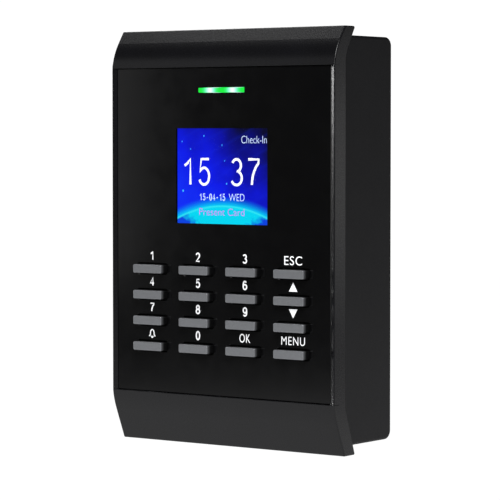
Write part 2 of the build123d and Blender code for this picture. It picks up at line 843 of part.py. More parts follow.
# ---------------------------------------------------------------- wiring sockets
def wiring_sockets():
    """Five white pin headers on the back of the main board, at the cable opening."""
    bodies = []
    floor = main_board_back + socket_floor
    mouth = main_board_back + socket_tall + through
    for x, above, pins in socket_places:
        width = pins * pin_pitch + 2 * socket_end
        z = cable_z + above
        body = behind_main(width, socket_height, socket_tall, x, z)
        inner_height = socket_height - 2 * socket_wall
        bodies.append(body - slab(width - 2 * socket_wall, inner_height, floor, mouth, x=x, z=z))
    return group(bodies)


def socket_pins():
    pins = []
    floor = main_board_back + socket_floor
    for x, above, count in socket_places:
        for i in range(count):
            place = x + (i - (count - 1) / 2) * pin_pitch
            pins.append(slab(pin_size, pin_size, floor, floor + pin_length, x=place, z=cable_z + above))
    return group(pins)


# ---------------------------------------------------------------- tamper switch
def tamper_switch():
    """Switch body with a stepped bore that keeps the plunger's collar in."""
    top = main_board_back + tamper_body_height
    roof = top - tamper_floor
    bore = tamper_collar_radius + tamper_clearance
    body = behind_main(tamper_body, tamper_body, tamper_body_height, tamper_x, tamper_z)
    body -= rod(bore, tamper_spring_seat, roof, tamper_x, tamper_z)
    return body - rod(tamper_radius + tamper_clearance, roof - through, top + through, tamper_x, tamper_z)


def tamper_plunger():
    """Pin that the wall plate holds down; its collar stays inside the switch."""
    tip_depth = total_depth - plate_thickness - seat_gap
    pin = rod(tamper_radius, tamper_collar_depth, tip_depth, tamper_x, tamper_z)
    tip = pin.edges().filter_by(GeomType.CIRCLE).sort_by(Axis.Y)[-1]
    collar_end = tamper_collar_depth + tamper_collar
    collar = rod(tamper_collar_radius, tamper_collar_depth, collar_end, tamper_x, tamper_z)
    return fillet(tip, 0.4) + collar


def tamper_spring():
    """Compression spring under the plunger, coils drawn as stacked rings."""
    turns = 4
    travel = tamper_spring_length - 2 * tamper_spring_wire
    coil_radius = tamper_radius - tamper_clearance
    coils = None
    for i in range(turns):
        depth = tamper_spring_seat + tamper_spring_wire + i * travel / (turns - 1)
        ring = Pos(tamper_x, at(depth), tamper_z) * Rot(90, 0, 0) * Torus(coil_radius, tamper_spring_wire)
        coils = ring if coils is None else coils + ring
    return coils


# ---------------------------------------------------------------- wall plate
def wall_plate():
    """Pressed steel plate with two hooks and a lock tab."""
    front = total_depth - plate_thickness
    past = total_depth + through
    root = front + plate_thickness / 3
    plate = slab(plate_width, plate_height, front, total_depth, z=plate_z, radius=plate_corner - hook_gap)
    opening_width, opening_height = cable_width + 2 * plate_gap, cable_height + 2 * plate_gap
    plate -= slab(opening_width, opening_height, front - through, past, z=cable_z, radius=cable_corner)
    for x, z in corners(wall_hole_spacing_x, wall_hole_spacing_z, z=plate_z):
        plate -= rod(wall_hole_radius, front - through, past, x, z)
    hook_front = case_back_inner - hook_reach
    for x in (-hook_spacing / 2, hook_spacing / 2):
        x0, x1 = x - hook_width / 2, x + hook_width / 2
        plate += block(x0, x1, hook_front, root, hook_z, hook_z + plate_thickness)
        plate += block(x0, x1, hook_front, hook_front + plate_thickness, hook_z, hook_z + hook_rise)
    tab_half = lock_tab_width / 2
    tab_front = case_back_inner - lock_tab_depth
    plate += block(-tab_half, tab_half, tab_front, root, lock_tab_z, lock_tab_z + plate_thickness)
    return plate - Pos(0, at(lock_screw_depth), lock_tab_z) * Cylinder(lock_screw_radius, 4 * plate_thickness)


def lock_screw():
    """Screw up through the case's bottom wall into the plate's tab."""
    tip = lock_tab_z + plate_thickness + lock_screw_past_tab
    y = at(lock_screw_depth)
    head_low = case_bottom_z - lock_screw_head
    head = Cylinder(lock_screw_radius * screw_head_ratio, lock_screw_head)
    head = fillet(head.edges().filter_by(GeomType.CIRCLE).sort_by(Axis.Z)[0], 0.7)
    head = Pos(0, y, head_low + lock_screw_head / 2) * head
    shank = Pos(0, y, (case_bottom_z + tip) / 2) * Cylinder(lock_screw_radius, tip - case_bottom_z)
    return head + shank - Pos(0, y, head_low) * Cylinder(0.9, 2.0)


# ---------------------------------------------------------------- fasteners
def case_screws():
    seat = case_boss_depth() + seat_gap + screw_floor
    return group(
        machine_screw(case_screw_radius, case_screw_length, seat, x, z) for x, z in case_screw_places()
    )


def board_screws():
    size = (board_screw_radius, board_screw_length)
    screws = [machine_screw(*size, front_board_back, x, z) for x, z in front_board_screw_places()]
    screws += [
        machine_screw(*size, main_board_depth, x, z, towards_wall=True) for x, z in main_board_screw_places()
    ]
    return group(screws)


# ---------------------------------------------------------------- write every node
key_names = [
    ["key_1", "key_2", "key_3", "key_esc"],
    ["key_4", "key_5", "key_6", "key_up"],
    ["key_7", "key_8", "key_9", "key_down"],
    ["key_bell", "key_0", "key_ok", "key_menu"],
]
for row_names, key_z in zip(key_names, rows):
    for key_name, key_x in zip(row_names, columns):
        save(key_cap(key_x, key_z), key_name)

for make in (
    front_cover, front_panel, rear_case, display_window, display_gasket, display_bezel, lcd_glass,
    backlight, display_holder, display_flex, flex_connector, light_bar, indicator_leds, keypad_mat,
    contact_pills, front_board, main_board, processor, memory_chips, network_transformer, relay,
    capacitors, crystal, coin_cell_holder, coin_cell, sounder, reader_chip, ribbon_connectors,
    ribbon_cable, antenna_coil, wiring_sockets, socket_pins, tamper_switch, tamper_plunger,
    tamper_spring, wall_plate, lock_screw, case_screws, board_screws,
):
    save(make(), make.__name__)
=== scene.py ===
"""Looks of the wall-mounted access terminal: finishes, legends, lit display and status light."""
import math
import random

import bmesh
import bpy
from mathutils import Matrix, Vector


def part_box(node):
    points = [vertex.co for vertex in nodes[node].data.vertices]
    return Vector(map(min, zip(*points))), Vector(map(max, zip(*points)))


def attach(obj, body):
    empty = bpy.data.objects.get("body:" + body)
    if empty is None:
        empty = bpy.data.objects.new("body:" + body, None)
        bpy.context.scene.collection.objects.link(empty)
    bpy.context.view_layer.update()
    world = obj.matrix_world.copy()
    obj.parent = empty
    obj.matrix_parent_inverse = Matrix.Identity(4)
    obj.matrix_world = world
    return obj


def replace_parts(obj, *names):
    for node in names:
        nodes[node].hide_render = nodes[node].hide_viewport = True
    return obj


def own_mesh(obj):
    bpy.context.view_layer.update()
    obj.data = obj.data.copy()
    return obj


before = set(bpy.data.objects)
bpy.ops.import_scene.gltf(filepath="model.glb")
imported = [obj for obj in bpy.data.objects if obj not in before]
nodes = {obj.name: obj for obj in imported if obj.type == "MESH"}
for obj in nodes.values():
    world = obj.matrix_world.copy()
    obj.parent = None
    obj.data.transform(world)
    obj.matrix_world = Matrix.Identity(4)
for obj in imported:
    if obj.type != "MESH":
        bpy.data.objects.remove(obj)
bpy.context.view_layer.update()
MM = 0.001

# ---------------------------------------------------------------- places read from the frame
face_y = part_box("front_panel")[0].y              # front of the black panel
window_low, window_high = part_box("display_window")
lcd_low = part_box("lcd_glass")[0]
cover_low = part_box("front_cover")[0]
KEY_ROWS = [
    ["key_1", "key_2", "key_3", "key_esc"],
    ["key_4", "key_5", "key_6", "key_up"],
    ["key_7", "key_8", "key_9", "key_down"],
    ["key_bell", "key_0", "key_ok", "key_menu"],
]


def key_centre(name):
    low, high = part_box(name)
    return (low.x + high.x) / 2, (low.z + high.z) / 2


# ---------------------------------------------------------------- small tools
def linear(code):
    """sRGB hex value to a linear colour with alpha."""
    channels = [int(code[i:i + 2], 16) / 255 for i in (1, 3, 5)]
    return (*[c / 12.92 if c <= 0.04045 else ((c + 0.055) / 1.055) ** 2.4 for c in channels], 1.0)


def add(tree, kind, inputs=None, **settings):
    """Adds a node; inputs maps a socket's name or number to a value or to another node's output."""
    new = tree.nodes.new(kind)
    for name, value in settings.items():
        setattr(new, name, value)
    for socket, value in (inputs or {}).items():
        if isinstance(value, bpy.types.NodeSocket):
            tree.links.new(value, new.inputs[socket])
        else:
            new.inputs[socket].default_value = value
    return new


def ramp(tree, factor, stops, interpolation="LINEAR"):
    """Colour ramp through (position, hex) stops."""
    new = add(tree, "ShaderNodeValToRGB", {0: factor})
    elements = new.color_ramp.elements
    new.color_ramp.interpolation = interpolation
    while len(elements) < len(stops):
        elements.new(0.5)
    for element, (position, code) in zip(elements, stops):
        element.position = position
        element.color = linear(code)
    return new.outputs["Color"]


def start_material(name, **constants):
    """New material with a Principled shader; constants are set on the shader's own sockets."""
    material = bpy.data.materials.new(name)
    material.use_nodes = True
    tree = material.node_tree
    shader = tree.nodes["Principled BSDF"]
    for socket, value in constants.items():
        shader.inputs[socket.replace("_", " ")].default_value = value
    place = add(tree, "ShaderNodeTexCoord").outputs["Object"]
    return material, tree, shader, place


def grained(name, colour, lighter, grain, depth, smooth, rough, **constants):
    """Moulded or coated surface: mottled colour, and a fine grain that breaks up its gloss.

    grain is the spacing of the texture and depth its height, both in millimetres.
    """
    material, tree, shader, place = start_material(name, **constants)
    fine = add(tree, "ShaderNodeTexNoise", {"Vector": place, "Scale": 1 / (grain * MM), "Detail": 3.0})
    broad = add(tree, "ShaderNodeTexNoise", {"Vector": place, "Scale": 1 / (14 * MM), "Detail": 4.0})
    colour_out = ramp(tree, broad.outputs[0], [(0.3, colour), (0.75, lighter)])
    tree.links.new(colour_out, shader.inputs["Base Color"])
    gloss = add(tree, "ShaderNodeMapRange", {0: fine.outputs[0], 1: 0.25, 2: 0.75, 3: smooth, 4: rough})
    tree.links.new(gloss.outputs[0], shader.inputs["Roughness"])
    bump = add(tree, "ShaderNodeBump", {"Strength": 1.0, "Distance": depth * MM, "Height": fine.outputs[0]})
    tree.links.new(bump.outputs[0], shader.inputs["Normal"])
    return material


def give(material, *names):
    """Puts a material on CAD nodes."""
    for name in names:
        slots = nodes[name].data.materials
        slots.clear()
        slots.append(material)


def keep(piece, material=None, body="root"):
    """Finishes a new piece: its material and its body."""
    if material:
        piece.data.materials.clear()
        piece.data.materials.append(material)
    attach(piece, body)
    return piece


def mesh_piece(name, build):
    """New object whose mesh is made by build(bm)."""
    bm = bmesh.new()
    build(bm)
    bmesh.ops.remove_doubles(bm, verts=bm.verts, dist=1e-7)
    bmesh.ops.recalc_face_normals(bm, faces=bm.faces)
    mesh = bpy.data.meshes.new(name)
    bm.to_mesh(mesh)
    bm.free()
    piece = bpy.data.objects.new(name, mesh)
    bpy.context.scene.collection.objects.link(piece)
    return piece


# ---------------------------------------------------------------- camera, floor and light
def make_camera():
    aim = Vector((-0.00026, -0.01698, -0.0043))
    azimuth, elevation, distance = math.radians(36.14), math.radians(2.62), 0.8594
    back = Vector((
        math.sin(azimuth) * math.cos(elevation),
        -math.cos(azimuth) * math.cos(elevation),
        math.sin(elevation),
    ))
    data = bpy.data.cameras.new("camera")
    data.sensor_width = 36.0
    data.lens = 183.3
    camera = bpy.data.objects.new("camera", data)
    camera.location = aim + back * distance
    camera.rotation_euler = (-back).to_track_quat("-Z", "Y").to_euler()
    bpy.context.scene.collection.objects.link(camera)
    bpy.context.scene.camera = camera


def softbox(name, place, aim, width, height, power, colour="#FFFFFF"):
    data = bpy.data.lights.new(name, "AREA")
    data.shape = "RECTANGLE"
    data.size, data.size_y = width, height
    data.energy = power
    data.color = linear(colour)[:3]
    light = bpy.data.objects.new(name, data)
    light.location = place
    light.rotation_euler = (Vector(aim) - Vector(place)).to_track_quat("-Z", "Y").to_euler()
    bpy.context.scene.collection.objects.link(light)
    return light


def make_studio():
    scene = bpy.context.scene
    scene.view_settings.view_transform = "Standard"
    world = bpy.data.worlds.new("studio")
    scene.world = world
    world.use_nodes = True
    tree = world.node_tree
    tree.nodes.clear()
    seen = add(tree, "ShaderNodeLightPath").outputs["Is Camera Ray"]
    room = add(tree, "ShaderNodeBackground", {"Color": linear("#FFFFFF"), "Strength": 0.035})
    backdrop = add(tree, "ShaderNodeBackground", {"Color": linear("#FFFFFF"), "Strength": 1.05})
    mix = add(tree, "ShaderNodeMixShader", {0: seen, 1: room.outputs[0], 2: backdrop.outputs[0]})
    add(tree, "ShaderNodeOutputWorld", {0: mix.outputs[0]})

    # a translucent table lit from below: nothing casts a hard shadow, and only its middle shines up
    floor_z = cover_low.z - 0.02
    bpy.ops.mesh.primitive_circle_add(vertices=96, radius=1.4, fill_type="NGON", location=(0, 0, floor_z))
    floor = bpy.context.object
    floor.name = "light_table"
    material, tree, shader, place = start_material("opal_acrylic_table", Roughness=0.6)
    shader.inputs["Base Color"].default_value = linear("#3C3C3C")
    shader.inputs["Emission Color"].default_value = linear("#FFFFFF")
    away = add(tree, "ShaderNodeVectorMath", {0: place}, operation="LENGTH")
    pool = add(tree, "ShaderNodeMapRange", {0: away.outputs["Value"], 1: 0.26, 2: 0.5, 3: 0.55, 4: 0.02})
    seen = add(tree, "ShaderNodeLightPath").outputs["Is Camera Ray"]
    shine = add(tree, "ShaderNodeMix", {0: seen, 2: pool.outputs[0], 3: 1.0}, data_type="FLOAT")
    tree.links.new(shine.outputs[0], shader.inputs["Emission Strength"])
    floor.data.materials.append(material)

    softbox("key_right", (0.62, -1.05, 0.95), (0, 0, 0), 0.55, 0.55, 14)
    softbox("fill_left", (-1.17, -1.05, 0.04), (0, 0, 0), 0.5, 0.5, 0.46)
    softbox("fill_high", (-1.0, -0.95, 0.52), (0, 0, 0), 0.7, 0.4, 0.35)
    softbox("top_back", (-0.85, 0.55, 0.95), (0, 0, 0), 0.4, 0.4, 3)
    softbox("rim_grazer", (-1.05, -0.08, 0.15), (0, 0, 0.05), 0.12, 0.14, 1.3)
    softbox("back_right", (0.85, 1.1, -0.02), (0, 0, 0), 0.9, 0.2, 0.5)
    softbox("edge_right", (0.95, -0.72, 0.08), (0, 0, 0), 0.12, 0.45, 0.45)
    softbox("edge_top", (-0.68, -0.05, 0.95), (0, 0, 0), 0.4, 0.2, 1.0)


# ---------------------------------------------------------------- finishes
def make_finishes():
    # satin ABS: black moulding with a barely visible grain, softly glossy
    give(grained("satin_black_abs", "#101013", "#131317", 0.22, 0.003, 0.22, 0.30), "front_cover")
    # spark-eroded ABS: the same plastic from a rougher mould, so it takes the light flatly
    give(
        grained("spark_textured_abs", "#111114", "#151518", 0.35, 0.012, 0.48, 0.62, Specular_IOR_Level=0.45),
        "rear_case",
    )
    # hard-coated acrylic printed black behind: deep gloss with faint smears
    panel = grained(
        "hard_coated_acrylic", "#0B0B0C", "#0D0D0E", 6.0, 0.0005, 0.10, 0.16, IOR=1.49
    )
    give(panel, "front_panel")
    # keys: silver lacquer face, with painted shade down their sides
    give(key_paint_and_well_shade(), *[k for row in KEY_ROWS for k in row])
    give(clear_acrylic(), "display_window")
    give(display_picture(), "lcd_glass")
    give(lit_light_guide(), "light_bar")
    # zinc plate: pale grey with a soft spangle
    zinc = grained("zinc_plated_steel", "#8E9194", "#A6A9AC", 1.6, 0.002, 0.28, 0.45, Metallic=1.0)
    give(zinc, "wall_plate", "lock_screw", "case_screws", "board_screws")
    # solder mask: deep green and even, glossier than the parts on it
    board = grained("solder_masked_board", "#0B3D1E", "#0E4A25", 1.2, 0.004, 0.25, 0.4)
    give(board, "front_board", "main_board")
    # undyed nylon: warm off-white, slightly waxy
    nylon = grained("natural_nylon", "#D9D3C2", "#E2DCCB", 0.6, 0.004, 0.4, 0.55)
    give(nylon, "wiring_sockets", "tamper_plunger")
    # tin plating: bright and a little yellow
    tin = grained("tinned_pins", "#C9C6B8", "#D8D5C8", 0.4, 0.002, 0.2, 0.35, Metallic=1.0)
    give(tin, "socket_pins", "crystal")
    # black nylon: matt, so chips and connectors read as soft dark blocks
    black = grained("black_nylon", "#131313", "#1A1A1A", 0.3, 0.006, 0.45, 0.6)
    give(
        black, "flex_connector", "coin_cell_holder", "ribbon_connectors", "tamper_switch", "sounder",
        "network_transformer", "processor", "memory_chips", "reader_chip", "display_gasket",
    )
    # blue PBT: the saturated, semi-gloss shell of a relay
    give(grained("relay_blue_pbt", "#123C8C", "#17479C", 0.4, 0.004, 0.3, 0.4), "relay")
    # white polycarbonate: a reflector's soft, even white
    white = grained("white_polycarbonate", "#D2D2CF", "#DCDCDA", 0.6, 0.003, 0.35, 0.5)
    give(white, "display_holder", "backlight")
    # drawn steel: bright, with a soft streakless sheen
    steel = grained("drawn_steel", "#9A9A9A", "#B4B4B4", 0.6, 0.002, 0.2, 0.34, Metallic=1.0)
    give(steel, "display_bezel", "coin_cell", "capacitors", "tamper_spring", "indicator_leds")
    # polyimide: amber film that shines like varnish
    film = grained("polyimide_film", "#8A4A12", "#9A5618", 2.0, 0.002, 0.25, 0.4)
    give(film, "display_flex", "ribbon_cable")
    # enamelled copper: dark red-brown wire with a hard highlight
    copper = grained("enamelled_copper", "#8C3F1A", "#A8522A", 0.3, 0.003, 0.2, 0.3, Metallic=1.0)
    give(copper, "antenna_coil")
    # silicone and carbon-filled rubber: dull, with no highlight
    silicone = grained("keypad_silicone", "#5A5D60", "#66696C", 0.5, 0.006, 0.5, 0.65)
    carbon = grained("carbon_filled_rubber", "#161616", "#1E1E1E", 0.3, 0.004, 0.55, 0.7)
    give(silicone, "keypad_mat")
    give(carbon, "contact_pills")
    return copper, steel, silicone, carbon


def key_paint_and_well_shade():
    """Silver-grey lacquer on the cap's face over dark moulded sides, with painted shade darkening the sides
    towards their base.
    """
    material, tree, shader, place = start_material("silver_lacquer_with_painted_well_shade", Metallic=0.4)
    low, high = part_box("key_1")
    depth = add(tree, "ShaderNodeSeparateXYZ", {0: place}).outputs["Y"]
    # silver lacquer covers the front over dark sides; the fade down the sides, darker towards their base, is
    # painted shade of the key well
    front = add(
        tree, "ShaderNodeMapRange", {0: depth, 1: low.y + 0.15 * MM, 2: low.y + 1.7 * MM, 3: 1.0, 4: 0.0}
    )
    flake = add(tree, "ShaderNodeTexNoise", {"Vector": place, "Scale": 1 / (0.25 * MM), "Detail": 2.0})
    face = ramp(tree, flake.outputs[0], [(0.3, "#909296"), (0.7, "#A7A9AD")])
    side = ramp(tree, flake.outputs[0], [(0.3, "#1B1B1C"), (0.7, "#232324")])
    colour = add(tree, "ShaderNodeMix", {0: front.outputs[0], 6: side, 7: face}, data_type="RGBA")
    tree.links.new(colour.outputs[2], shader.inputs["Base Color"])
    gloss = add(tree, "ShaderNodeMapRange", {0: flake.outputs[0], 3: 0.28, 4: 0.4})
    tree.links.new(gloss.outputs[0], shader.inputs["Roughness"])
    bump = add(tree, "ShaderNodeBump", {"Strength": 0.6, "Distance": 0.004 * MM, "Height": flake.outputs[0]})
    tree.links.new(bump.outputs[0], shader.inputs["Normal"])
    return material


def clear_acrylic():
    """Clear cast acrylic: water-clear, with the polish of the panel around it."""
    material, tree, shader, place = start_material(
        "clear_cast_acrylic", Transmission_Weight=1.0, IOR=1.49
    )
    shader.inputs["Base Color"].default_value = linear("#FBFCFF")
    haze = add(tree, "ShaderNodeTexNoise", {"Vector": place, "Scale": 1 / (9 * MM), "Detail": 4.0})
    gloss = add(tree, "ShaderNodeMapRange", {0: haze.outputs[0], 3: 0.0, 4: 0.03})
    tree.links.new(gloss.outputs[0], shader.inputs["Roughness"])
    return material


def lit_light_guide():
    """Frosted acrylic lit green by two lamps behind it: whiter where the lamps sit."""
    material, tree, shader, place = start_material("frosted_light_guide", Roughness=0.45, IOR=1.49)
    shader.inputs["Base Color"].default_value = linear("#0C2418")
    led_low, led_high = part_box("indicator_leds")
    lamp_x = (led_high.x - led_low.x) / 2 - 1.6 * MM
    x = add(tree, "ShaderNodeSeparateXYZ", {0: place}).outputs["X"]
    spread = add(tree, "ShaderNodeMath", {0: x}, operation="ABSOLUTE")
    away = add(tree, "ShaderNodeMath", {0: spread.outputs[0], 1: lamp_x}, operation="SUBTRACT")
    gap = add(tree, "ShaderNodeMath", {0: away.outputs[0]}, operation="ABSOLUTE")
    near = add(tree, "ShaderNodeMapRange", {0: gap.outputs[0], 1: 0.0, 2: 4.0 * MM, 3: 1.0, 4: 0.0})
    near.interpolation_type = "SMOOTHSTEP"
    greens = [(0.0, "#0CF03C"), (0.3, "#3CF880"), (0.55, "#74FDC0"), (0.8, "#B8FDF0"), (1.0, "#FFFFFF")]
    glow = ramp(tree, near.outputs[0], greens)
    tree.links.new(glow, shader.inputs["Emission Color"])
    shader.inputs["Emission Strength"].default_value = 1.0
    return material


def display_picture():
    """Lit picture on the display: a night-blue sky with faint streaks over a bright horizon."""
    material, tree, shader, place = start_material("lit_display", Roughness=0.3, Specular_IOR_Level=0.0)
    shader.inputs["Base Color"].default_value = linear("#020204")
    split = add(tree, "ShaderNodeSeparateXYZ", {0: place})
    x, z = split.outputs["X"], split.outputs["Z"]
    left, bottom, top = window_low.x, window_low.z, window_high.z

    def between(value, low, high, start=0.0, end=1.0):
        """Straight change from start to end as value goes from low to high, in millimetres."""
        limits = {1: low, 2: high, 3: start, 4: end}
        return add(tree, "ShaderNodeMapRange", {0: value, **limits}).outputs[0]

    def noise(vector, spacing, detail):
        """Soft noise whose features are spacing millimetres apart."""
        inputs = {"Vector": vector, "Scale": 1 / (spacing * MM), "Detail": detail}
        return add(tree, "ShaderNodeTexNoise", inputs).outputs[0]

    def blend(share, first, second):
        return add(tree, "ShaderNodeMix", {0: share, 6: first, 7: second}, data_type="RGBA").outputs[2]

    # sky: bright at the left and low down, almost black in the top right corner
    across = between(x, left, -left, 0.0, 0.62)
    up = between(z, bottom + 9 * MM, top, 0.0, 0.45)
    dark = add(tree, "ShaderNodeMath", {0: across, 1: up}, operation="ADD").outputs[0]
    cloud = noise(place, 11, 2.0)
    patchy = between(cloud, 0.3, 0.7, -0.12, 0.12)
    dark = add(tree, "ShaderNodeMath", {0: dark, 1: patchy}, operation="ADD").outputs[0]
    sky = ramp(tree, dark, [(0.0, "#1030FF"), (0.33, "#0C1CF0"), (0.6, "#0A10B0"), (0.95, "#06072E")])
    # faint slanting streaks
    slant = add(tree, "ShaderNodeMapping", {0: place, "Rotation": (0.0, math.radians(24), 0.0)}).outputs[0]
    wave = add(tree, "ShaderNodeTexWave", {"Vector": slant, "Scale": 1 / (14 * MM), "Distortion": 2.0},
               bands_direction="Z").outputs["Fac"]
    streak = between(wave, 0.8, 1.0, 0.0, 0.06)
    sky = blend(streak, sky, linear("#1E3CFF"))

    # horizon: distance from the middle of a large circle whose top is the bright arc
    radius = 45 * MM
    apex = bottom + 5.9 * MM
    rise = add(tree, "ShaderNodeMath", {0: z, 1: apex - radius}, operation="SUBTRACT").outputs[0]
    flat = add(tree, "ShaderNodeCombineXYZ", {0: x, 1: rise}).outputs[0]
    reach = add(tree, "ShaderNodeVectorMath", {0: flat}, operation="LENGTH").outputs["Value"]
    haze = between(reach, radius + 3.6 * MM, radius + 0.2 * MM)
    haze = add(tree, "ShaderNodeMath", {0: haze, 1: 1.0}, operation="POWER").outputs[0]
    glow = ramp(tree, haze, [(0.0, "#0A30FF"), (0.5, "#00A0FF"), (1.0, "#00DCFF")])
    picture = blend(haze, sky, glow)
    # below the arc: cyan in the middle, darker wedges at both bottom corners
    below = between(reach, radius + 0.15 * MM, radius - 0.15 * MM)
    spread = add(tree, "ShaderNodeMath", {0: x}, operation="ABSOLUTE").outputs[0]
    climb = add(tree, "ShaderNodeMath", {0: z, 1: bottom}, operation="SUBTRACT").outputs[0]
    edge = add(tree, "ShaderNodeMath", {0: climb, 1: -1.7, 2: spread}, operation="MULTIPLY_ADD").outputs[0]
    rays = noise(slant, 1.6, 1.0)
    ragged = between(rays, 0.3, 0.7, -1.6 * MM, 1.6 * MM)
    edge = add(tree, "ShaderNodeMath", {0: edge, 1: ragged}, operation="ADD").outputs[0]
    wedge = between(edge, 9.0 * MM, 14.0 * MM)
    ground = blend(wedge, linear("#00E1FB"), linear("#0A46E6"))
    picture = blend(below, picture, ground)
    # the arc itself: a thin bright line that fades towards the sides
    off = add(tree, "ShaderNodeMath", {0: reach, 1: radius}, operation="SUBTRACT").outputs[0]
    off = add(tree, "ShaderNodeMath", {0: off}, operation="ABSOLUTE").outputs[0]
    line = between(off, 0.45 * MM, 0.05 * MM, 0.0, 0.75)
    picture = blend(line, picture, linear("#3CF6FF"))
    tree.links.new(picture, shader.inputs["Emission Color"])
    shader.inputs["Emission Strength"].default_value = 1.0
    return material


def printed_ink(name, code, glow=0.0):
    """Screen-printed or lit mark: an even, slightly matt coat; the glow is the display's own light on screen
    words and painted light on printed marks.
    """
    material, tree, shader, place = start_material(name, Roughness=0.5)
    grain = add(tree, "ShaderNodeTexNoise", {"Vector": place, "Scale": 1 / (0.3 * MM)})
    gloss = add(tree, "ShaderNodeMapRange", {0: grain.outputs[0], 3: 0.4, 4: 0.6})
    tree.links.new(gloss.outputs[0], shader.inputs["Roughness"])
    shader.inputs["Base Color"].default_value = linear(code)
    shader.inputs["Emission Color"].default_value = linear(code)
    shader.inputs["Emission Strength"].default_value = glow
    return material


# ---------------------------------------------------------------- lettering
def arc(x, z, across, tall, start, end, steps=14):
    """Points along part of an ellipse, from one angle to another in degrees."""
    angles = [math.radians(start + (end - start) * i / steps) for i in range(steps + 1)]
    return [(x + across * math.cos(a), z + tall * math.sin(a)) for a in angles]


NINE = [arc(0.5, 0.69, 0.46, 0.31, 0, 360), [(0.96, 0.69)] + arc(0.5, 0.40, 0.46, 0.40, 0, -140)]
# each figure as pen strokes in a box one wide and one high
FIGURES = {
    "0": [arc(0.5, 0.5, 0.46, 0.5, 0, 360, 28)],
    "1": [[(0.16, 0.74), (0.45, 0.84), (0.70, 1.0), (0.70, 0.0)]],
    "2": [arc(0.5, 0.71, 0.45, 0.29, 165, -35) + [(0.05, 0.0), (0.96, 0.0)]],
    "3": [arc(0.46, 0.76, 0.40, 0.24, 155, -80) + arc(0.46, 0.27, 0.48, 0.27, 80, -155)],
    "4": [[(0.72, 0.0), (0.72, 1.0), (0.02, 0.30), (1.0, 0.30)]],
    "5": [[(0.92, 1.0), (0.22, 1.0), (0.10, 0.50)] + arc(0.48, 0.33, 0.47, 0.33, 130, -155)],
    "6": [[(1 - px, 1 - pz) for px, pz in stroke] for stroke in NINE],
    "7": [[(0.03, 1.0), (0.97, 1.0)] + arc(1.60, -0.02, 1.24, 1.02, 122, 178, 8)],
    "8": [arc(0.5, 0.76, 0.38, 0.24, 0, 360, 24), arc(0.5, 0.27, 0.47, 0.27, 0, 360, 24)],
    "9": NINE,
    "-": [[(0.2, 0.42), (0.8, 0.42)]],
}


# places of the display's stars, in millimetres from the window's bottom left corner
STARS = [
    (1.6, 27.4), (5.2, 24.9), (10.8, 29.3), (18.3, 26.2),
    (19.4, 21.0), (20.2, 13.4), (2.0, 10.9), (37.2, 12.6),
]


def pen_strokes(name, strokes, pen, front_y, thickness, slot, material):
    """Flat raised lines of one width along (x, z) points in metres; pen and thickness are in mm."""
    curve = bpy.data.curves.new(name, "CURVE")
    curve.dimensions = "3D"
    curve.bevel_depth = pen * MM / 2
    curve.bevel_resolution = 2
    curve.use_fill_caps = True
    for stroke in strokes:
        closed = math.dist(stroke[0], stroke[-1]) < 1e-6
        points = stroke[:-1] if closed else stroke
        spline = curve.splines.new("POLY")
        spline.points.add(len(points) - 1)
        for point, (px, pz) in zip(spline.points, points):
            point.co = (px, 0.0, pz, 1.0)
        spline.use_cyclic_u = closed
    line = bpy.data.objects.new(name, curve)
    bpy.context.scene.collection.objects.link(line)
    bpy.context.view_layer.update()
    mesh = bpy.data.meshes.new_from_object(line.evaluated_get(bpy.context.evaluated_depsgraph_get()))
    bpy.data.objects.remove(line)
    for v in mesh.vertices:
        v.co.y = front_y + v.co.y / curve.bevel_depth * thickness * MM
    piece = bpy.data.objects.new(name, mesh)
    bpy.context.scene.collection.objects.link(piece)
    return keep(piece, material)


def figures(name, digits, x, z, width, height, pen, front_y, thickness, slot, material, gap=0.3):
    """Row of figures, centred at x and z; width is one figure's and gap the space as a share of it."""
    pitch = width * (1 + gap)
    strokes = []
    for i, digit in enumerate(digits):
        left = x + (i - (len(digits) - 1) / 2) * pitch * MM - (width - pen) / 2 * MM
        low = z - (height - pen) / 2 * MM
        across, tall = (width - pen) * MM, (height - pen) * MM
        for stroke in FIGURES[digit]:
            strokes.append([(left + px * across, low + pz * tall) for px, pz in stroke])
    return pen_strokes(name, strokes, pen, front_y, thickness, slot, material)


def lettering(name, words, x, z, width, height, front_y, thickness, slot, material, weight=0.0, spacing=1.0):
    """Words as a thin raised mesh, stretched to an exact width and height, in millimetres."""
    curve = bpy.data.curves.new(name, "FONT")
    curve.body = words
    curve.align_x = "CENTER"
    curve.fill_mode = "BOTH"
    curve.extrude = 0.5
    curve.offset = weight
    curve.space_character = spacing
    text = bpy.data.objects.new(name, curve)
    bpy.context.scene.collection.objects.link(text)
    bpy.context.view_layer.update()
    mesh = bpy.data.meshes.new_from_object(text.evaluated_get(bpy.context.evaluated_depsgraph_get()))
    bpy.data.objects.remove(text)
    points = [v.co for v in mesh.vertices]
    low = Vector([min(p[i] for p in points) for i in range(3)])
    high = Vector([max(p[i] for p in points) for i in range(3)])
    middle = (low + high) / 2
    for v in mesh.vertices:
        u = (v.co.x - middle.x) / (high.x - low.x)
        w = (v.co.y - middle.y) / (high.y - low.y)
        front = v.co.z > middle.z
        v.co = (x + u * width * MM, front_y - (thickness * MM if front else -0.01 * MM), z + w * height * MM)
    mesh.name = name
    piece = bpy.data.objects.new(name, mesh)
    bpy.context.scene.collection.objects.link(piece)
    return keep(piece, material)


def flat_shape(name, outlines, front_y, thickness, slot, material):
    """Thin raised shape from closed outlines of (x, z) points in metres."""
    def build(bm):
        for outline in outlines:
            rings = []
            for y in (front_y - thickness * MM, front_y + 0.01 * MM):
                rings.append([bm.verts.new((px, y, pz)) for px, pz in outline])
            bm.faces.new(rings[0])
            bm.faces.new(list(reversed(rings[1])))
            count = len(outline)
            for i in range(count):
                j = (i + 1) % count
                bm.faces.new((rings[0][i], rings[1][i], rings[1][j], rings[0][j]))
    return keep(mesh_piece(name, build), material)


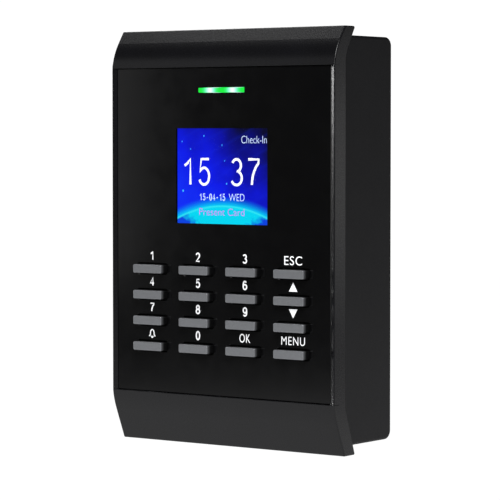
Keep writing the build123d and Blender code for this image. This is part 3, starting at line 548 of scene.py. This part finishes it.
def make_legends():
    # the legends' glow is painted light: the printed ink is lit by nothing behind it
    ink = printed_ink("white_ink_with_painted_glow", "#F4F5F7", 0.75)
    above_key = 4.35 * MM
    sizes = {"ESC": (7.1, 2.95, 0.0), "OK": (4.4, 2.9, 0.0), "MENU": (9.4, 2.75, -0.004)}
    marks = {"key_esc": "ESC", "key_ok": "OK", "key_menu": "MENU"}
    ink_here = (face_y, 0.03, "panel_gloss", ink)
    for row in KEY_ROWS:
        for key in row:
            x, z = key_centre(key)
            if key[-1].isdigit():
                figures("legend_" + key, key[-1], x, z + above_key, 2.0, 3.2, 0.5, *ink_here)
            elif key in marks:
                words = marks[key]
                width, height, weight = sizes[words]
                lettering("legend_" + key, words, x, z + above_key, width, height, *ink_here, weight, 1.12)
    half, tall = 1.7 * MM, 2.95 * MM
    x, z = key_centre("key_up")
    base = z + 3.0 * MM
    flat_shape("legend_up", [[(x - half, base), (x + half, base), (x, base + tall)]], *ink_here)
    x, z = key_centre("key_down")
    base = z + 6.0 * MM
    flat_shape("legend_down", [[(x - half, base), (x, base - tall), (x + half, base)]], *ink_here)
    x, z = key_centre("key_bell")
    bell_legend(x, z + 4.25 * MM, ink_here)


def bell_legend(x, z, ink_here):
    """Bell in outline with its clapper."""
    dome = arc(0.0, 0.1, 0.78, 1.15, 0, 180)
    outline = [(1.32, -0.95), (0.78, -0.4)] + dome + [(-0.78, -0.4), (-1.32, -0.95), (1.32, -0.95)]
    clapper = arc(0.0, -1.13, 0.32, 0.28, 0, -180, 6)
    strokes = [[(x + px * MM, z + pz * MM) for px, pz in stroke] for stroke in (outline, clapper)]
    pen_strokes("legend_bell", strokes, 0.42, *ink_here)


def make_screen_words():
    front = lcd_low.y - 0.02 * MM
    white = printed_ink("lit_white", "#FFFFFF", 1.0)
    pale = printed_ink("lit_pale_blue", "#D2E4FF", 0.95)
    rose = printed_ink("lit_rose", "#D060E0", 0.95)
    middle_z = (window_low.z + window_high.z) / 2
    clock_z = middle_z + 1.4 * MM
    for name, digits, x in (("clock_hours", "15", -11.3), ("clock_minutes", "37", 9.0)):
        figures(name, digits, x * MM, clock_z, 5.4, 9.4, 0.88, front, 0.02, "lcd_glass", white, 0.25)
    for name, words, x, above, width, height, ink in (
        ("date_day", "WED", 5.5, -7.0, 6.4, 2.4, pale),
        ("status_word", "Check-In", 12.6, 12.2, 10.3, 2.5, pale),
        ("prompt_line", "Present Card", -0.7, -11.9, 18.7, 2.4, rose),
    ):
        lettering(
            name, words, x * MM, middle_z + above * MM, width, height, front, 0.02, "lcd_glass", ink, -0.012
        )
    date_z = middle_z - 7.0 * MM
    figures("date_line", "15-04-15", -4.6 * MM, date_z, 1.25, 2.4, 0.34, front, 0.02, "lcd_glass", pale, 0.1)
    make_stars(front)


def make_stars(front):
    """A few small points of light in the display's sky, clear of the words."""
    pick = random.Random(4)
    ink = printed_ink("lit_star", "#3CB4FF", 0.9)
    outlines = []
    for across, up in STARS:
        x, z = window_low.x + across * MM, window_low.z + up * MM
        size = pick.uniform(0.16, 0.34) * MM
        outlines.append([(x + px * size, z + pz * size) for px, pz in arc(0, 0, 1, 1.3, 0, -324, 9)])
    flat_shape("display_stars", outlines, front, 0.01, "lcd_glass", ink)


# ---------------------------------------------------------------- wound pieces
def grown(name, inputs, build, material, stands_for):
    """Piece made by a node tree in place of a CAD node; inputs are the tree's named inputs."""
    kinds = {float: "NodeSocketFloat", int: "NodeSocketInt", Vector: "NodeSocketVector"}
    tree = bpy.data.node_groups.new(name, "GeometryNodeTree")
    tree.interface.new_socket("Geometry", in_out="OUTPUT", socket_type="NodeSocketGeometry")
    sockets = {
        label: tree.interface.new_socket(label, in_out="INPUT", socket_type=kinds[type(value)])
        for label, value in inputs.items()
    }
    shape = build(tree, add(tree, "NodeGroupInput").outputs)
    realized = add(tree, "GeometryNodeRealizeInstances", {0: shape}).outputs[0]
    coated = add(tree, "GeometryNodeSetMaterial", {0: realized, "Material": material}).outputs[0]
    add(tree, "NodeGroupOutput", {0: coated})
    host = bpy.data.objects.new(name, bpy.data.meshes.new(name))
    bpy.context.scene.collection.objects.link(host)
    modifier = host.modifiers.new("grow", "NODES")
    modifier.node_group = tree
    for label, value in inputs.items():
        modifier[sockets[label].identifier] = value
    bpy.context.view_layer.update()
    mesh = bpy.data.meshes.new_from_object(host.evaluated_get(bpy.context.evaluated_depsgraph_get()))
    host.modifiers.remove(modifier)
    host.data = mesh
    bm = bmesh.new()
    bm.from_mesh(mesh)
    bmesh.ops.recalc_face_normals(bm, faces=bm.faces)
    bm.to_mesh(mesh)
    bm.free()
    keep(host)
    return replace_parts(host, stands_for)


def make_antenna_windings(copper):
    """Wire loops of the reader coil, laid in layers in the ring's square section."""
    low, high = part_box("antenna_coil")
    size, middle = high - low, (low + high) / 2
    wire = 0.36 * MM
    rows = int(size.y / wire)
    layers = 5

    def build(tree, given):
        def math_node(kind, a, b):
            return add(tree, "ShaderNodeMath", {0: a, 1: b}, operation=kind).outputs[0]

        loop = add(tree, "GeometryNodeCurvePrimitiveQuadrilateral", {0: given["Width"], 1: given["Height"]})
        turned = add(tree, "GeometryNodeTransform", {0: loop.outputs[0], "Rotation": (math.pi / 2, 0.0, 0.0)})
        eased = add(
            tree, "GeometryNodeFilletCurve",
            {"Curve": turned.outputs[0], "Radius": given["Corner"], "Count": 7}, mode="POLY"
        )
        half_wire = math_node("MULTIPLY", given["Wire"], 0.49)
        section = add(tree, "GeometryNodeCurvePrimitiveCircle", {"Resolution": 8, "Radius": half_wire})
        strand = add(tree, "GeometryNodeCurveToMesh", {0: eased.outputs[0], 1: section.outputs[0]})
        count = math_node("MULTIPLY", given["Rows"], given["Layers"])
        places = add(tree, "GeometryNodeMeshLine", {"Count": count, "Offset": (0.0, 0.0, 0.0)})
        number = add(tree, "GeometryNodeInputIndex").outputs[0]
        layer = math_node("FLOOR", math_node("DIVIDE", number, given["Rows"]), 0.0)
        row = math_node("MODULO", number, given["Rows"])
        back = add(tree, "ShaderNodeCombineXYZ", {1: math_node("MULTIPLY", row, given["Wire"])})
        moved = add(tree, "GeometryNodeSetPosition", {0: places.outputs[0], "Offset": back.outputs[0]})
        inset = math_node("MULTIPLY", math_node("MULTIPLY", layer, given["Wire"]), 2.0)
        scale = add(tree, "ShaderNodeCombineXYZ", {
            0: math_node("SUBTRACT", 1.0, math_node("DIVIDE", inset, given["Width"])),
            1: 1.0,
            2: math_node("SUBTRACT", 1.0, math_node("DIVIDE", inset, given["Height"])),
        })
        laid = add(
            tree, "GeometryNodeInstanceOnPoints",
            {0: moved.outputs[0], "Instance": strand.outputs[0], "Scale": scale.outputs[0]}
        )
        moved_home = {0: laid.outputs[0], "Translation": given["Start"]}
        return add(tree, "GeometryNodeTransform", moved_home).outputs[0]

    start = Vector((middle.x, middle.y - (rows - 1) * wire / 2, middle.z))
    inputs = {
        "Width": size.x - wire, "Height": size.z - wire, "Corner": 4.8 * MM, "Wire": wire,
        "Rows": rows, "Layers": layers, "Start": start,
    }
    grown("antenna_windings", inputs, build, copper, "antenna_coil")


def make_spring_helix(steel):
    """Tamper switch spring as one wound wire."""
    low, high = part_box("tamper_spring")
    middle = (low + high) / 2
    wire = 0.36 * MM

    def build(tree, given):
        helix = add(tree, "GeometryNodeCurveSpiral", {
            "Resolution": 24, "Rotations": given["Turns"], "Start Radius": given["Radius"],
            "End Radius": given["Radius"], "Height": given["Length"],
        })
        turned = add(
            tree, "GeometryNodeTransform",
            {0: helix.outputs[0], "Rotation": (-math.pi / 2, 0.0, 0.0), "Translation": given["Start"]}
        )
        half_wire = add(tree, "ShaderNodeMath", {0: given["Wire"], 1: 0.5}, operation="MULTIPLY")
        round_wire = {"Resolution": 8, "Radius": half_wire.outputs[0]}
        section = add(tree, "GeometryNodeCurvePrimitiveCircle", round_wire)
        capped = {0: turned.outputs[0], 1: section.outputs[0], "Fill Caps": True}
        return add(tree, "GeometryNodeCurveToMesh", capped).outputs[0]

    inputs = {
        "Turns": 4.0, "Radius": (high.x - low.x - wire) / 2 * 0.98, "Length": high.y - low.y - 1.1 * wire,
        "Wire": wire, "Start": Vector((middle.x, low.y + 0.55 * wire, middle.z)),
    }
    helix = grown("tamper_spring_wire", inputs, build, steel, "tamper_spring")
    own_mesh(helix)


# ---------------------------------------------------------------- keypad mat
def make_key_domes(silicone, carbon):
    """The mat as a fixed sheet and a separate dome and contact per key."""
    mat_low, mat_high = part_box("keypad_mat")
    cut_y = mat_high.y - 1.02 * MM          # just in front of the sheet

    def cut_mat(bm, front):
        bm.from_mesh(nodes["keypad_mat"].data)
        bmesh.ops.remove_doubles(bm, verts=bm.verts, dist=1e-6)
        cut = bmesh.ops.bisect_plane(
            bm, geom=bm.verts[:] + bm.edges[:] + bm.faces[:], dist=1e-7, plane_co=(0, cut_y, 0),
            plane_no=(0, 1, 0), clear_outer=front, clear_inner=not front
        )
        rims = [edge for edge in cut["geom_cut"] if isinstance(edge, bmesh.types.BMEdge)]
        bmesh.ops.triangle_fill(bm, use_beauty=True, edges=rims)

    def only_near(bm, x, z):
        reach = 3.4 * MM
        far = [v for v in bm.verts if math.hypot(v.co.x - x, v.co.z - z) > reach]
        bmesh.ops.delete(bm, geom=far, context="VERTS")

    sheet = mesh_piece("keypad_sheet", lambda bm: cut_mat(bm, False))
    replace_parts(keep(sheet, silicone), "keypad_mat")
    for name in [key for row in KEY_ROWS for key in row]:
        x, z = key_centre(name)

        def build_dome(bm):
            cut_mat(bm, True)
            only_near(bm, x, z)

        def build_pill(bm):
            bm.from_mesh(nodes["contact_pills"].data)
            only_near(bm, x, z)

        dome = keep(mesh_piece("dome_" + name, build_dome), silicone)
        pill = keep(mesh_piece("pill_" + name, build_pill), carbon)
        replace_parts(dome, "keypad_mat")
        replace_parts(pill, "contact_pills")
        for piece in (dome, pill):
            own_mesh(piece)


make_camera()
make_studio()
copper, steel, silicone, carbon = make_finishes()
make_legends()
make_screen_words()
make_antenna_windings(copper)
make_spring_helix(steel)
make_key_domes(silicone, carbon)
